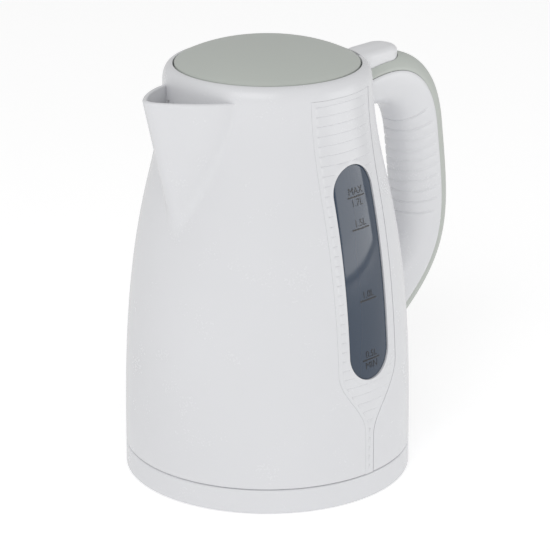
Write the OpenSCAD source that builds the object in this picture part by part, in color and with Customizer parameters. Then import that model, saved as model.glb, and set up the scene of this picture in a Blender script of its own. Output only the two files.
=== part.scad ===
// Cordless electric kettle, 1.7 litres, standing on its power base.
// Millimetres, +Z up. The origin is on the axis of the jug, at the table. The spout points
// along -X, the handle along +X, and the two level gauges face -Y and +Y.
// Every jug height is measured from the jug's foot, which stands on the base at foot_z.

/* [Power base] */
// Height of the power base
base_h = 13.4; // [12.6:0.2:16]
// Wall of the power base
base_wall = 2.4; // [1.8:0.1:3]
// Gap between the power base and the foot of the jug
seam = 0.4; // [0.2:0.1:0.8]
// Radius of the connector turret
turret_r = 16; // [14:0.5:18]
// Height of the turret over the deck
turret_h = 9; // [8:0.25:10]
// Height of the rubber feet below the bottom plate
pad_h = 1.2; // [0.8:0.1:1.8]
// Radius of a rubber foot
pad_r = 5.5; // [4:0.5:7]
// Radius of the fifth foot, under the connector
mid_pad_r = 9; // [6:0.5:12]
// Width of the cord outlet
outlet_w = 8; // [6:0.5:10]

/* [Jug] */
// Outer radius of the foot
foot_r = 75.8; // [72:0.5:80]
// Outer radius at the waist
waist_r = 62.2; // [59:0.2:65]
// Height of the waist over the foot
waist_h = 145.5; // [138:0.5:152]
// Inward slope of the wall at the waist
waist_slope = 0.247; // [0.2:0.005:0.3]
// Outer radius of the neck
neck_r = 54; // [53:0.2:57]
// Height of the jug from its foot to the top of its shoulder
jug_h = 206.1; // [203:0.5:210]
// Wall of the jug
wall = 2.5; // [2.2:0.1:3]
// Height of the rounded shoulder
shoulder_h = 8.1; // [6:0.1:9]
// Height of the heating plate over the foot
plate_h = 32.2; // [30:0.2:36]

/* [Spout] */
// Height over the foot at which the spout leaves the wall
apex_h = 132.9; // [125:0.5:140]
// Lean of the spout's front edge from the vertical
spout_lean = 14.6; // [12:0.2:17]
// Radius of the nose of the spout
nose_r = 5.5; // [4.5:0.1:8]
// Turn of the nose, from its tip to where each side begins
nose_turn = 42; // [38:0.5:46]
// Radius of the bowed sides of the spout
side_r = 75; // [65:1:90]
// Wall of the spout
spout_wall = 2.3; // [1.8:0.1:3]
// Drop from the top of the shoulder to the rim where it meets the wall
rim_drop = 8.1; // [7:0.1:10]
// Rise of the rim from the wall to the nose, in degrees
rim_tilt = 5.6; // [3:0.2:8]
// Number of filter slots behind the spout
slot_count = 7; // [5:2:9]
// Width of a filter slot
slot_w = 2; // [1.4:0.1:2.6]

/* [Lid] */
// Radius of the lid
lid_r = 47.9; // [47:0.1:48.4]
// Gap around the lid
lid_gap = 0.8; // [0.6:0.1:1.2]
// Height of the lid's dome
dome_h = 9.6; // [7:0.2:12]
// Wall of the lid cover
lid_wall = 1.8; // [1.4:0.1:2]
// Depth of the lid's skirt
skirt_h = 5.4; // [4.6:0.1:5.8]
// Depth of the liner's plug below the skirt
plug_h = 8.5; // [6:0.25:9]
// Radius of the hinge pin
pin_r = 1.1; // [0.9:0.05:1.2]
// Distance from the axis of the jug to the hinge pin
hinge_x = 44.5; // [44:0.1:45]

/* [Level gauges] */
// Width of the window
window_w = 29.4; // [24:0.2:31]
// Height of the window's lower end over the foot
window_low = 51.6; // [48:0.2:60]
// Height of the window's upper end over the foot
window_high = 163; // [150:0.5:168]
// Distance of the window's centre line behind the axis of the jug
window_x = 3.4; // [0:0.2:5]
// Distance from the centre line to the edge of the trim
trim_half_w = 21.8; // [20:0.1:24]
// Width of the plain border of the trim
border_w = 2.2; // [1.4:0.1:3]
// Thickness of the trim
trim_t = 1.5; // [1.2:0.1:1.7]
// Height from one rib to the next
rib_pitch = 5; // [4:0.25:7]
// Depth of the step at a rib
rib_step = 0.6; // [0.3:0.05:0.8]
// Half width of the strip below the window
strip_half_w = 3.2; // [2.4:0.1:4.5]
// Height at which the trim begins to narrow
taper_high = 57.5; // [52:0.5:62]
// Height at which the strip begins
taper_low = 22.5; // [16:0.5:28]

/* [Handle] */
// Half width of the handle
grip_half_w = 13.2; // [12:0.1:15]
// Half depth of the handle at the jug
arm_half_d = 11.2; // [10.6:0.1:12.4]
// Half depth of the handle at the grip
grip_half_d = 17; // [15:0.2:19]
// Wall of the grip
grip_wall = 2.5; // [2:0.1:3]
// Wall of the cover
cover_wall = 2; // [1.6:0.1:2.4]
// Share of the half depth that the cover wraps
cover_share = 0.588; // [0.5:0.01:0.65]

// Height from one finger groove to the next
groove_pitch = 5.9; // [5:0.1:7]
// Depth of a finger groove
groove_d = 0.5; // [0.3:0.05:0.7]
// Number of finger grooves
groove_count = 10; // [6:1:12]

/* [Lid button] */
// Length of the button
button_l = 33; // [28:0.5:34]
// Width of the button
button_w = 18.4; // [15:0.2:19]
// Travel of the button
press = 3.2; // [2.4:0.1:3.4]
// Height of the button over the handle's crown at its front
button_rise = 5.6; // [4.8:0.1:7]

/* [Switch] */
// Width of the switch paddle
paddle_w = 15; // [12:0.5:18]
// Reach of the paddle out of the wall
paddle_reach = 13; // [10:0.5:16]
// Turn of the switch between off and on
switch_turn = 12; // [8:1:14]

/* [Hidden] */
$fn = 96;
eps = 0.01;

// Clearances
fit_gap = 0.15;      // between pieces that are clipped or seated together
run_gap = 0.06;      // around a pin in its bore
move_gap = 0.4;      // around a piece that moves

// Jug and shoulder
foot_z = base_h + seam;
spline_top = jug_h - 3.3;
mouth_r = lid_r + lid_gap;
mouth_lip = 0.3;
shoulder_z = jug_h - shoulder_h;
ledge_top = jug_h - 5.7;
ledge_h = 3;
ledge_r = lid_r - 1.3;
seal_t = 1.2;
flange_t = 3;
plate_t = 1.2;
plate_r = foot_r - wall - 9.5;
flange_r = plate_r - 6;
steps = 32;

// Lid and hinge
hinge_z = jug_h - 2.3;
lid_edge_z = jug_h + 0.7;
skirt_z = lid_edge_z - 0.7 - skirt_h;
plug_r = lid_r - 2.9;
plug_z = skirt_z - plug_h;
knuckle_r = pin_r + 0.8;
pin_seat = 2.1;
pin_half = sqrt(pow(mouth_r, 2) - pow(hinge_x, 2)) + 3.2 + pin_seat;
catch_z = plug_z - 4;
relief_r = 4.9;
knuckle_l = 4.8;
knuckle_y = 9;
lid_wire = 0.3;
lid_coil_r = pin_r + 0.2 + lid_wire;

// Underside of the jug
screw_r = 1.15;
post_r = 3.2;
post_ring = foot_r - wall - 4.9;
cup_r = turret_r + 0.6;
cup_top = turret_h - seam + 0.6;
control_r = 27;
control_top = plate_h - plate_t - 7;
ring_r = (turret_r + 3) / 2;
floor_z = 0.8;
floor_t = 2;
tube_r = 3.3;
element_r = 46;

// Switch
pivot_x = foot_r - 12.8;
pivot_z = 13.5;
lever_t = 3;
rod_x = pivot_x - 12;
rod_r = 1.8;
wall_slot_w = paddle_w + 2 * move_gap;
wall_slot_drop = (foot_r - pivot_x) * sin(switch_turn);

// Handle spine, as two cubic curves through hand-placed points (X, height over the foot)
SPINE_TOP = [[52, jug_h - 25.9], [66, jug_h - 25.9], [103, jug_h - 9.9], [109.5, jug_h - 54.9]];
SPINE_BACK = [[109.5, jug_h - 54.9], [118, jug_h - 115.9], [121, 79.7], [64.5, 41.2]];
groove_top = jug_h - 48.9;
groove_half = 0.9;
arm_u = 0.12;
tail_u = 1.82;
section_power = 2.4;
arc_steps = 9;

// Lid button, placed along the spine
button_x = 75.5;
stem_w = 6;
arm_t = 2.5;
arm_z = catch_z - 0.3 - arm_t - 0.7;
hook_x = hinge_x - 3.4;
spring_wire = 0.45;
spring_r = 3;

// ---------------------------------------------------------------- shared curves

function blend(t) = t * t * (3 - 2 * t);
function clamp(t) = min(1, max(0, t));

// Cubic through two radii with the given slopes, the slopes as a change over the whole span
function hermite(a, b, slope_a, slope_b, t) =
    a + (b - a) * blend(t) + slope_a * (t * t * t - 2 * t * t + t) + slope_b * (t * t * t - t * t);

// Outer radius of the jug at height z over its foot
function jug_r(z) =
    z < waist_h
    ? hermite(foot_r, waist_r, 0, -waist_slope * waist_h, z / waist_h)
    : hermite(waist_r, neck_r, -waist_slope * (spline_top - waist_h), 0,
        clamp((z - waist_h) / (spline_top - waist_h)));

// Outline of the jug's wall between two heights, drawn in by inset
function wall_line(z0, z1, inset, count = steps) =
    [for (i = [0:count]) let (z = z0 + (z1 - z0) * i / count) [jug_r(z) - inset, z]];
function reversed(list) = [for (i = [len(list) - 1:-1:0]) list[i]];

// Revolved layer of the jug's wall, between two insets
module wall_layer(z0, z1, inset_out, inset_in) {
    rotate_extrude()
        polygon(concat(wall_line(z0, z1, inset_out), reversed(wall_line(z0, z1, inset_in))));
}

module on_base() { translate([0, 0, foot_z]) children(); }

// Closed skin through rings with the same number of points
module skin(rings) {
    n = len(rings[0]);
    m = len(rings);
    sides = [for (i = [0:m - 2], j = [0:n - 1]) let (k = (j + 1) % n)
        each [[i * n + j, i * n + k, (i + 1) * n + k], [i * n + j, (i + 1) * n + k, (i + 1) * n + j]]];
    first = [[for (j = [n - 1:-1:0]) j]];
    last = [[for (j = [0:n - 1]) (m - 1) * n + j]];
    polyhedron(points = [for (r = rings, p = r) p], faces = concat(sides, first, last));
}

// Closed skin through rings that fold back on themselves: the second half of each ring runs
// behind the first half, so both ends are closed by a strip between the halves
module folded_skin(rings) {
    n = len(rings[0]);
    m = len(rings);
    h = n / 2;
    e = (m - 1) * n;
    sides = [for (i = [0:m - 2], j = [0:n - 1]) let (k = (j + 1) % n)
        each [[i * n + j, i * n + k, (i + 1) * n + k], [i * n + j, (i + 1) * n + k, (i + 1) * n + j]]];
    first = [for (j = [0:h - 2])
        each [[j + 1, j, n - 1 - j], [j + 1, n - 1 - j, n - 2 - j]]];
    last = [for (j = [0:h - 2])
        each [[e + j, e + j + 1, e + n - 1 - j], [e + j + 1, e + n - 2 - j, e + n - 1 - j]]];
    polyhedron(points = [for (r = rings, p = r) p], faces = concat(sides, first, last));
}

// Round wire wound into a spring that stands on z = 0
module coil(r, wire, height, turns) {
    per_turn = 14;
    count = turns * per_turn;
    skin([for (i = [0:count]) let (a = 360 * i / per_turn, z = wire + (height - 2 * wire) * i / count)
        [for (j = [0:5]) let (b = 60 * j)
            [(r + wire * cos(b)) * cos(a), (r + wire * cos(b)) * sin(a), z + wire * sin(b)]]]);
}

module screw(head_r, head_h, shank_r, length) {
    difference() {
        cylinder(r = head_r, h = head_h);
        translate([0, 0, -eps]) cylinder(r = head_r * 0.45, h = head_h * 0.6, $fn = 6);
    }
    translate([0, 0, head_h - eps]) cylinder(r = shank_r, h = length + eps);
}

module around(count, r, start = 0) {
    for (i = [0:count - 1]) rotate([0, 0, start + i * 360 / count]) translate([r, 0, 0]) children();
}

// ---------------------------------------------------------------- power base

base_in = foot_r - base_wall;
deck_z = base_h - base_wall;
plate_low = pad_h;
plate_up = pad_h + 2;
hub_r = 30;
wrap_r = 54;
wrap_z = deck_z - 2.6;
base_ring = (wrap_r + base_in) / 2 + 0.6;
screw_turn = 18;

module base_shell() {
    color("white") difference() {
        union() {
            rotate_extrude() polygon([
                [turret_r + fit_gap, base_h], [turret_r + fit_gap, deck_z], [base_in, deck_z],
                [base_in, plate_low - 0.6], [foot_r, plate_low - 0.6], [foot_r, base_h - 1],
                [foot_r - 0.3, base_h - 0.3], [foot_r - 1, base_h]]);
            around(4, base_ring, screw_turn) translate([0, 0, plate_up + fit_gap])
                cylinder(r = post_r, h = deck_z - plate_up);
        }
        around(4, base_ring, screw_turn) translate([0, 0, plate_up - 1])
            cylinder(r = screw_r + run_gap, h = deck_z - plate_up - 0.5);
        translate([foot_r - 6, -outlet_w / 2, 0]) cube([10, outlet_w, plate_up + outlet_w * 0.6]);
    }
}

// The bottom plate has a deep round channel, in which the cord is wound away
module base_plate() {
    color("gainsboro") difference() {
        rotate_extrude() polygon([
            [0, plate_low], [hub_r, plate_low], [hub_r, wrap_z], [wrap_r, wrap_z],
            [wrap_r, plate_low], [base_in - fit_gap, plate_low], [base_in - fit_gap, plate_up],
            [wrap_r + 2, plate_up], [wrap_r + 2, wrap_z + 2], [hub_r - 2, wrap_z + 2],
            [hub_r - 2, plate_up], [0, plate_up]]);
        around(4, base_ring, screw_turn) translate([0, 0, plate_low - 1])
            cylinder(r = screw_r + 0.5, h = 4);
        around(4, base_ring, screw_turn) translate([0, 0, plate_low - 1])
            cylinder(r = 3.2, h = 2);
        around(4, base_ring, 45) translate([0, 0, plate_low - 1])
            cylinder(r = pad_r - 1.5 + run_gap, h = 4);
        translate([0, 0, plate_low - 1]) cylinder(r = mid_pad_r - 3 + run_gap, h = 4);
        translate([wrap_r - 1, -outlet_w / 2, 0]) cube([base_in - wrap_r + 2, outlet_w, wrap_z]);
    }
    color("gainsboro") around(3, hub_r, 60) translate([-1, -4, plate_low])
        cube([9, 8, 1.6]);
}

module foot(r, stem_r) {
    cylinder(r = r, h = pad_h);
    translate([0, 0, pad_h - eps]) cylinder(r = stem_r, h = 1.6);
}

// Four feet near the edge, and one that takes the push of the jug on the connector
module base_feet() {
    color("dimgray") {
        around(4, base_ring, 45) foot(pad_r, pad_r - 1.5);
        foot(mid_pad_r, mid_pad_r - 3);
    }
}

module base_screws() {
    color("silver") around(4, base_ring, screw_turn) translate([0, 0, plate_low + 0.05])
        screw(3, 0.9, screw_r, deck_z - plate_up - 2);
}

module base_connector() {
    top = base_h + turret_h;
    color("lightgray") difference() {
        union() {
            translate([0, 0, deck_z - 2]) cylinder(r = turret_r + 4, h = 2 - 0.05);
            translate([0, 0, deck_z - 2]) cylinder(r = turret_r, h = turret_h + base_wall + 1);
            translate([0, 0, top - 1 - eps]) cylinder(r1 = turret_r, r2 = turret_r - 1, h = 1 + eps);
        }
        translate([0, 0, top - 8]) cylinder(r = 3.2, h = 9);
        translate([0, 0, top - 7]) difference() {
            cylinder(r = ring_r + 1.6, h = 8);
            translate([0, 0, -1]) cylinder(r = ring_r - 1.6, h = 10);
        }
    }
}

// Spring contacts at the bottom of the turret's centre hole and of its ring groove
module base_contacts() {
    top = base_h + turret_h;
    color("goldenrod") {
        translate([0, 0, top - 8 + 0.05]) difference() {
            cylinder(r = 3.1, h = 4);
            translate([0, 0, 0.8]) cylinder(r = 2.3, h = 4);
        }
        translate([0, 0, top - 7 + 0.05]) difference() {
            cylinder(r = ring_r + 1.4, h = 0.8);
            translate([0, 0, -1]) cylinder(r = ring_r - 1.4, h = 3);
        }
    }
}

// ---------------------------------------------------------------- jug

// Plan of the spout: a round nose that runs into two bowed sides, drawn in by inset
function spout_plan(inset, depth) =
    let (c = [nose_r, 0], far = side_r - nose_r,
        side_c = [nose_r + far * cos(nose_turn), far * sin(nose_turn)],
        r = side_r - inset,
        a0 = 180 - nose_turn,
        a1 = acos((depth - side_c[0]) / r),
        nose = [for (i = [-5:5]) let (a = 180 + nose_turn * i / 5)
            c + (nose_r - inset) * [cos(a), sin(a)]],
        side = [for (i = [1:8]) let (a = a0 + (a1 - a0) * i / 8)
            [side_c[0] + r * cos(a), -side_c[1] + r * sin(a)]])
    concat(reversed([for (p = side) [p[0], p[1]]]), nose, [for (p = side) [p[0], -p[1]]]);

// Leaning prism on the spout's plan
module spout_prism(inset) {
    translate([-jug_r(apex_h), 0, apex_h]) rotate([0, -spout_lean, 0]) translate([0, 0, -30])
        linear_extrude(110) polygon(spout_plan(inset, 46));
}

rim_x = 46;
module above_rim() {
    translate([-rim_x, 0, jug_h - rim_drop]) rotate([0, rim_tilt, 0])
        translate([-70, -50, 0]) cube([140, 100, 60]);
}

module spout_wall() {
    difference() {
        spout_prism(0);
        spout_prism(spout_wall);
        rotate_extrude() polygon(concat([[0, 0]], wall_line(0, jug_h, wall * 0.5), [[0, jug_h]]));
        above_rim();
        translate([-20, -50, 0]) cube([100, 100, jug_h]);
    }
}

shoulder_c = mouth_r + mouth_lip;
function shoulder_line(count = 8) = [for (i = [1:count]) let (a = 90 * i / count)
    [shoulder_c + (neck_r - shoulder_c) * cos(a), shoulder_z + shoulder_h * sin(a)]];

module jug_wall() {
    seal_z = plate_h + seal_t;
    neck_in = ledge_top - ledge_h;
    rotate_extrude() polygon(concat(
        wall_line(0, shoulder_z, 0), shoulder_line(),
        [[mouth_r, jug_h], [mouth_r, ledge_top], [ledge_r, ledge_top], [ledge_r, neck_in]],
        reversed(wall_line(seal_z + flange_t, neck_in - 4, wall)),
        [[flange_r, seal_z + flange_t], [flange_r, seal_z]],
        reversed(wall_line(0, seal_z, wall, 4))));
}

// Stadium through the jug's side, for the window
module window_prism(side, grow) {
    r = window_w / 2 + grow;
    rotate([90, 0, 0]) translate([window_x, 0, side > 0 ? -foot_r - 4 : 20]) linear_extrude(foot_r - 16) {
        translate([-r, window_low + window_w / 2])
            square([2 * r, window_high - window_low - window_w]);
        translate([0, window_low + window_w / 2]) circle(r);
        translate([0, window_high - window_w / 2]) circle(r);
    }
}

// Edges of the trim, measured from the window's centre line
strip_x = 2.2;
function trim_front(z, inset) =
    -strip_x - strip_half_w + (strip_x + strip_half_w - trim_half_w)
        * blend(clamp((z - taper_low - 1.2) / (taper_high - taper_low - 1.2))) + inset;
function trim_back(z, inset) =
    strip_half_w - strip_x + (trim_half_w - strip_half_w + strip_x)
        * blend(clamp((z - taper_low + 1.2) / (taper_high - taper_low + 1.2))) - inset;
function trim_levels(low, high) = concat([low], [for (i = [0:9])
    taper_low - 1.2 + (taper_high - taper_low + 1.2) * i / 9], [high]);

module trim_prism(side, inset, low, high) {
    zs = trim_levels(low, high);
    rotate([90, 0, 0]) translate([window_x, 0, side > 0 ? -foot_r - 4 : 20]) linear_extrude(foot_r - 16)
        polygon(concat([for (z = zs) [trim_front(z, inset), z]],
            reversed([for (z = zs) [trim_back(z, inset), z]])));
}

// Plan of the room behind the hinge, as [reach, distance from the middle]
CRESCENT = [[5, 5], [4.75, 9], [4.4, 12], [4, 15], [3.45, 18], [2.8, 20.6], [2.1, 22.2], [0.6, 23.4]];
module crescent_relief() {
    translate([hinge_x, 0, hinge_z - 0.3]) linear_extrude(6)
        polygon(concat([for (p = CRESCENT) p], [[-3, 23.4], [-3, -23.4]],
            reversed([for (p = CRESCENT) [p[0], -p[1]]]), [[5.1, 0]]));
}

module jug_shell() {
    color("white") on_base() difference() {
        union() {
            jug_wall();
            spout_wall();
            around(3, post_ring, 60) translate([0, 0, floor_z + floor_t + fit_gap])
                cylinder(r = post_r, h = plate_h + seal_t + 1 - floor_z - floor_t);
        }
        around(3, post_ring, 60) translate([0, 0, floor_z])
            cylinder(r = screw_r + run_gap, h = 14);
        for (side = [-1, 1]) {
            window_prism(side, 0);
            intersection() {
                trim_prism(side, 0, -1, shoulder_z);
                wall_layer(-1, shoulder_z, -3, trim_t);
            }
        }
        // filter slots behind the spout
        for (i = [0:slot_count - 1]) rotate([0, 0, 180 + 7 * (i - (slot_count - 1) / 2)])
            translate([neck_r - 6, -slot_w / 2, jug_h - 38]) cube([8, slot_w, 23.4]);
        // seat of the lid is open at the hinge, where the rear edge dips
        translate([hinge_x - 6.5, -30, ledge_top - ledge_h - 3])
            intersection() {
                cube([40, 60, ledge_h + 3 + eps]);
                translate([6.5 - hinge_x, 30, 0]) cylinder(r = mouth_r, h = 20);
            }
        // room for the rear edge of the lid, which swings further out near the middle
        for (r = [[relief_r, 9], [relief_r - 0.6, 15], [relief_r - 1.4, 20]])
            along_hinge(2 * r[1]) circle(r[0]);
        crescent_relief();
        along_hinge(2 * (pin_half + fit_gap)) circle(pin_r + run_gap);
        // slot for the latch arm
        translate([hinge_x, -stem_w / 2 - move_gap, arm_z - press - move_gap])
            cube([20, stem_w + 2 * move_gap, press + arm_t + 0.7 + 2 * move_gap]);
        // opening for the switch
        translate([pivot_x, -wall_slot_w / 2, pivot_z - lever_t / 2 - wall_slot_drop - 3 * move_gap])
            cube([30, wall_slot_w, lever_t + wall_slot_drop + 6 * move_gap]);
    }
}

module window(side) {
    color([0.45, 0.52, 0.6, 0.6]) on_base() intersection() {
        window_prism(side, -0.08);
        wall_layer(window_low - 4, window_high + 4, 1, wall);
    }
}

module window_right() { window(-1); }
module window_left() { window(1); }

// Ribbed trim round each window. The ribs overlap downwards like boards.
module ribs_cutter() {
    first = spline_top - 2.6;
    count = floor((first - 4) / rib_pitch);
    rotate_extrude() polygon(concat(
        [for (i = [0:count]) let (z = first - i * rib_pitch)
            each [[jug_r(z) - 0.1, z], [jug_r(z) - rib_step, z - 0.25]]],
        [[jug_r(3) - 0.1, 3], [foot_r + 3, 3], [foot_r + 3, first]]));
}

module gauge_trim(side) {
    color("white") on_base() difference() {
        intersection() {
            trim_prism(side, fit_gap, fit_gap, shoulder_z - fit_gap);
            wall_layer(fit_gap, shoulder_z - fit_gap, 0.1, trim_t - 0.05);
        }
        window_prism(side, 0);
        intersection() {
            trim_prism(side, border_w, 2, spline_top - border_w);
            ribs_cutter();
        }
    }
}

module gauge_trim_right() { gauge_trim(-1); }
module gauge_trim_left() { gauge_trim(1); }

// ---------------------------------------------------------------- spout filter

filter_low = jug_h - 41;
filter_high = jug_h - 12.5;
filter_a = 26;

module sector(a, h) {
    rotate([0, 0, 180]) linear_extrude(h)
        polygon(concat([[0, 0]], [for (i = [-4:4]) 70 * [cos(a * i / 4), sin(a * i / 4)]]));
}

module spout_filter() {
    inset = wall + 0.3;
    color("lightgray") on_base() difference() {
        intersection() {
            wall_layer(filter_low, filter_high, inset, inset + 2);
            translate([0, 0, filter_low - 1]) sector(filter_a, 40);
        }
        for (s = [-1, 1]) rotate([0, 0, s * (filter_a / 2 - 0.5)]) translate([0, 0, filter_low + 3])
            sector(filter_a / 2 - 3, filter_high - filter_low - 6);
    }
}

module filter_mesh() {
    inset = wall + 0.3 + 0.8;
    color("silver") on_base() for (s = [-1, 1]) intersection() {
        wall_layer(filter_low, filter_high, inset, inset + 0.5);
        rotate([0, 0, s * (filter_a / 2 - 0.5)]) translate([0, 0, filter_low + 3 + run_gap])
            sector(filter_a / 2 - 3.1, filter_high - filter_low - 6 - 2 * run_gap);
    }
}

// ---------------------------------------------------------------- heater and control

module element_plate() {
    color("silver") on_base() translate([0, 0, plate_h - plate_t])
        cylinder(r = plate_r, h = plate_t);
}

module plate_seal() {
    color("whitesmoke") on_base() translate([0, 0, plate_h + 0.03]) difference() {
        cylinder(r = plate_r - fit_gap, h = seal_t - 0.06);
        translate([0, 0, -1]) cylinder(r = flange_r + 0.5, h = seal_t + 2);
    }
}

module heating_element() {
    z = plate_h - plate_t - tube_r - 0.05;
    color("dimgray") on_base() translate([0, 0, z]) {
        rotate([0, 0, 30]) rotate_extrude(angle = 300) translate([element_r, 0]) circle(tube_r, $fn = 24);
        for (a = [33, 327]) rotate([0, 0, a]) translate([element_r, 0, -7]) cylinder(r = 1.5, h = 5.5);
    }
}

module control_body() {
    color("darkslategray") on_base() difference() {
        union() {
            translate([0, 0, floor_z]) cylinder(r = cup_r + 2.4, h = cup_top + 2 - floor_z);
            translate([0, 0, cup_top]) cylinder(r = control_r, h = control_top - cup_top);
            for (s = [-1, 1]) translate([0, 14 * s, control_top - eps])
                cylinder(r = 9, h = 6 + eps);
            translate([0, -9, pivot_z + 5.5]) cube([rod_x + 5, 18, control_top - pivot_z - 5.5]);
        }
        translate([0, 0, -1]) cylinder(r = cup_r, h = cup_top + 1);
        translate([rod_x, 0, pivot_z]) cylinder(r = rod_r + 0.1, h = 30);
    }
}

module bimetal_discs() {
    color("goldenrod") on_base() for (s = [-1, 1])
        translate([0, 14 * s, control_top + 6.05]) {
            cylinder(r = 8.4, h = 0.4);
            translate([0, 0, 0.4 - eps]) cylinder(r1 = 8.4, r2 = 2, h = 0.5);
        }
}

module socket_contacts() {
    color("goldenrod") on_base() translate([0, 0, cup_top - 6]) {
        cylinder(r = 2, h = 6 - 0.05);
        difference() {
            cylinder(r = ring_r + 0.6, h = 6 - 0.05);
            translate([0, 0, -1]) cylinder(r = ring_r - 0.6, h = 8);
        }
    }
}

module jug_bottom() {
    edge = foot_r - wall - fit_gap - 0.1;
    color("gainsboro") on_base() difference() {
        union() {
            translate([0, 0, floor_z]) cylinder(r = edge, h = floor_t);
            translate([0, 0, 0.1]) difference() {
                cylinder(r = edge - 8, h = floor_z);
                translate([0, 0, -1]) cylinder(r = edge - 11, h = 4);
            }
            for (s = [-1, 1]) translate([pivot_x - 3, s * (paddle_w / 2 + 2.4) - 1.5, floor_z])
                cube([6, 3, pivot_z + 3 - floor_z]);
        }
        translate([0, 0, -1]) cylinder(r = cup_r + 2.4 + fit_gap, h = 8);
        around(3, post_ring, 60) translate([0, 0, -1]) cylinder(r = screw_r + 0.5, h = 6);
        translate([pivot_x, 20, pivot_z]) rotate([90, 0, 0]) cylinder(r = 1.25 + run_gap, h = 40);
    }
}

module bottom_screws() {
    color("silver") on_base() around(3, post_ring, 60) translate([0, 0, 0.05])
        screw(2.6, floor_z - 0.1, screw_r, 12);
}

module switch_pin() {
    half = paddle_w / 2 + 4;
    color("silver") on_base() translate([pivot_x, half, pivot_z]) rotate([90, 0, 0])
        cylinder(r = 1.25, h = 2 * half);
}

module switch_lever() {
    low = pivot_z - lever_t / 2;
    color("lightgray") on_base() difference() {
        union() {
            translate([rod_x - 3, -4, low]) cube([pivot_x - rod_x + 3, 8, lever_t]);
            translate([pivot_x - 3, -paddle_w / 2, low]) cube([foot_r + 3 - pivot_x, paddle_w, lever_t]);
            translate([pivot_x, paddle_w / 2, pivot_z]) rotate([90, 0, 0]) cylinder(r = 3, h = paddle_w);
            translate([0, paddle_w / 2, 0]) rotate([90, 0, 0]) linear_extrude(paddle_w) polygon([
                [foot_r, low], [foot_r + paddle_reach - 2, low - 0.5], [foot_r + paddle_reach, low + 0.8],
                [foot_r + paddle_reach, low + lever_t], [foot_r + paddle_reach - 3, low + lever_t + 1],
                [foot_r, low + lever_t]]);
        }
        translate([pivot_x, 20, pivot_z]) rotate([90, 0, 0]) cylinder(r = 1.25 + run_gap, h = 40);
    }
}

module trip_rod() {
    color("ivory") on_base() translate([rod_x, 0, pivot_z + lever_t / 2 + 0.3]) {
        cylinder(r1 = 0.7, r2 = rod_r, h = 1.2);
        translate([0, 0, 1.2 - eps]) cylinder(r = rod_r, h = control_top - pivot_z - lever_t / 2 - 2);
    }
}

// ---------------------------------------------------------------- handle

function cubic(p, t) = pow(1 - t, 3) * p[0] + 3 * pow(1 - t, 2) * t * p[1]
    + 3 * (1 - t) * t * t * p[2] + t * t * t * p[3];
function cubic_way(p, t) = 3 * pow(1 - t, 2) * (p[1] - p[0]) + 6 * (1 - t) * t * (p[2] - p[1])
    + 3 * t * t * (p[3] - p[2]);
function spine(u) = u < 1 ? cubic(SPINE_TOP, u) : cubic(SPINE_BACK, u - 1);
function spine_way(u) = let (d = u < 1 ? cubic_way(SPINE_TOP, u) : cubic_way(SPINE_BACK, u - 1))
    d / norm(d);
function half_depth(u) = arm_half_d + (grip_half_d - arm_half_d) * blend(clamp(u / 0.95));

// Point of the handle's section at angle a from its crown, drawn in by inset
function power_cos(a) = sign(cos(a)) * pow(abs(cos(a)), 2 / section_power);
function power_sin(a) = sign(sin(a)) * pow(abs(sin(a)), 2 / section_power);
function section_point(u, a, inset) =
    let (c = spine(u), d = spine_way(u), n = [-d[1], d[0]],
        out = (half_depth(u) - inset) * power_cos(a))
    [c[0] + n[0] * out, (grip_half_w - inset) * power_sin(a), c[1] + n[1] * out];

// A point carried along the spine's direction on to the jug's wall, with the given clearance
function on_wall(p, d, gap, tries = 5) = tries == 0 ? p :
    let (x = sqrt(pow(jug_r(p[2]) + gap, 2) - p[1] * p[1]), s = (x - p[0]) / d[0])
    on_wall([p[0] + s * d[0], p[1], p[2] + s * d[1]], d, gap, tries - 1);

function split_angle() = acos(pow(1 - cover_share, section_power / 2));

// Ring of a folded skin: the outer arc one way and the inner arc back. A finger groove of the
// given depth runs round the inner side and fades out on both flanks.
function shell_ring(u, a0, a1, t, groove = 0) = concat(
    [for (i = [0:arc_steps]) let (a = a0 + (a1 - a0) * i / arc_steps)
        section_point(u, a, groove * blend(clamp((108 - abs(a - 180)) / 12)))],
    [for (i = [arc_steps:-1:0]) section_point(u, a0 + (a1 - a0) * i / arc_steps, t)]);

// Rings between the jug's wall and the end of the free run
function root_rings(u, a0, a1, t, count) =
    let (free = shell_ring(u, a0, a1, t), d = spine_way(u),
        seat = [for (p = free) on_wall(p, d, fit_gap)])
    [for (k = [0:count - 1]) let (f = k / count) [for (j = [0:len(free) - 1])
        seat[j] + (free[j] - seat[j]) * f]];

// Rings from wall to wall, at stations given as [place along the spine, depth of groove]
function handle_rings(a0, a1, t, stations) = concat(
    root_rings(arm_u, a0, a1, t, 2),
    [for (s = stations) shell_ring(s[0], a0, a1, t, s[1])],
    reversed(root_rings(tail_u, a0, a1, t, 3)));

function even_stations(u0, u1, count) = [for (i = [0:count]) [u0 + (u1 - u0) * i / count, 0]];

// Place along the spine at which the inner face of the grip stands at height z
function station_at(z, u0 = 0.6, u1 = 1.6, tries = 14) = let (u = (u0 + u1) / 2)
    tries == 0 ? u
    : section_point(u, 180, 0)[2] > z ? station_at(z, u, u1, tries - 1)
    : station_at(z, u0, u, tries - 1);
groove_low = groove_top - (groove_count - 1) * groove_pitch;
groove_stations = [for (i = [0:groove_count - 1], d = [1, 0, -1])
    [station_at(groove_top - i * groove_pitch + d * groove_half), d == 0 ? groove_d : 0]];

module handle_grip() {
    a = split_angle() + 1.2;
    u0 = station_at(groove_top + 3);
    u1 = station_at(groove_low - 3);
    color("white") on_base() folded_skin(handle_rings(a, 360 - a, grip_wall,
        concat(even_stations(arm_u, u0, 12), groove_stations, even_stations(u1, tail_u, 9))));
}

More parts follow.
